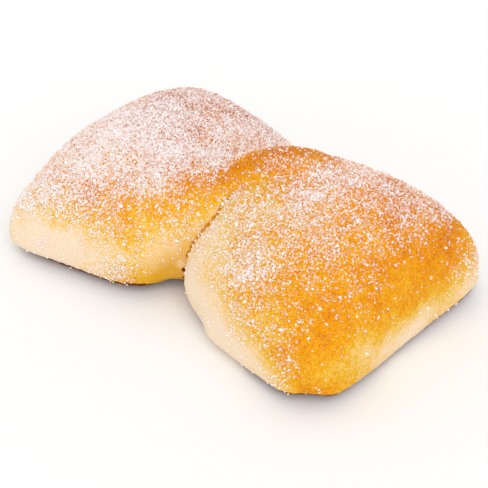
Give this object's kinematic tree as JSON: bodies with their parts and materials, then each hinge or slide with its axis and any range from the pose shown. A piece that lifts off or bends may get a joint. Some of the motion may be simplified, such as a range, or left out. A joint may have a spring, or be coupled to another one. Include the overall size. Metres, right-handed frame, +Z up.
{
  "type": "bow-shaped sweet bread",
  "caption": "Sweet bread baked from a half-twisted strip of dough: two puffed squarish lobes flaring from a crossed neck, flat underneath, dusted with sugar.",
  "frame": {"origin": "middle of the bounding box on the flat underside that rested on the tray", "axes": "+X along the length from one lobe to the other, +Y across from the near side to the far side, +Z up"},
  "size_m": [0.1352, 0.0906, 0.0463],
  "materials": {
    "crust": "soft golden crust, paler at the sides and brown underneath, dusted with sugar grains"
  },
  "bodies": {
    "root": {"bow_bread": "crust"}
  },
  "joints": []
}
